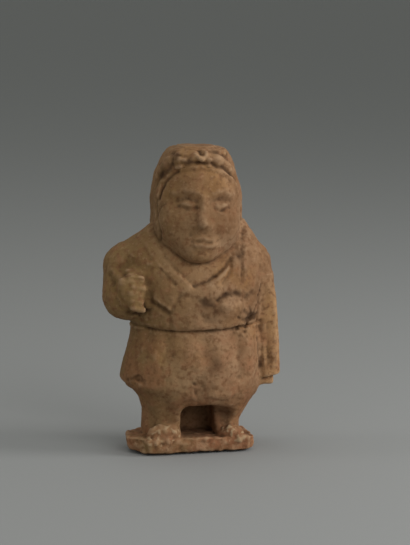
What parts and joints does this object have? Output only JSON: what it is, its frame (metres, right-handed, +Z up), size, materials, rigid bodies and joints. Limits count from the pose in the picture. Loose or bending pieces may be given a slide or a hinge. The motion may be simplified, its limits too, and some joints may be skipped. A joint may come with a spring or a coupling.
{
  "type": "terracotta dwarf figure",
  "caption": "Small standing terracotta figure of a dwarf in a belted robe, one fist at the chest, on a thin slab base, free-standing.",
  "frame": {"origin": "on the slab's flat underside, below the middle of the figure", "axes": "+Z up through the head, +X to the viewer's right, -Y towards the viewer, the way the figure faces"},
  "size_m": [0.0856, 0.05, 0.1455],
  "materials": {
    "terracotta": "unglazed fired clay, worn, with soil in the creases"
  },
  "bodies": {
    "root": {"dwarf_figure": "terracotta"}
  },
  "joints": []
}
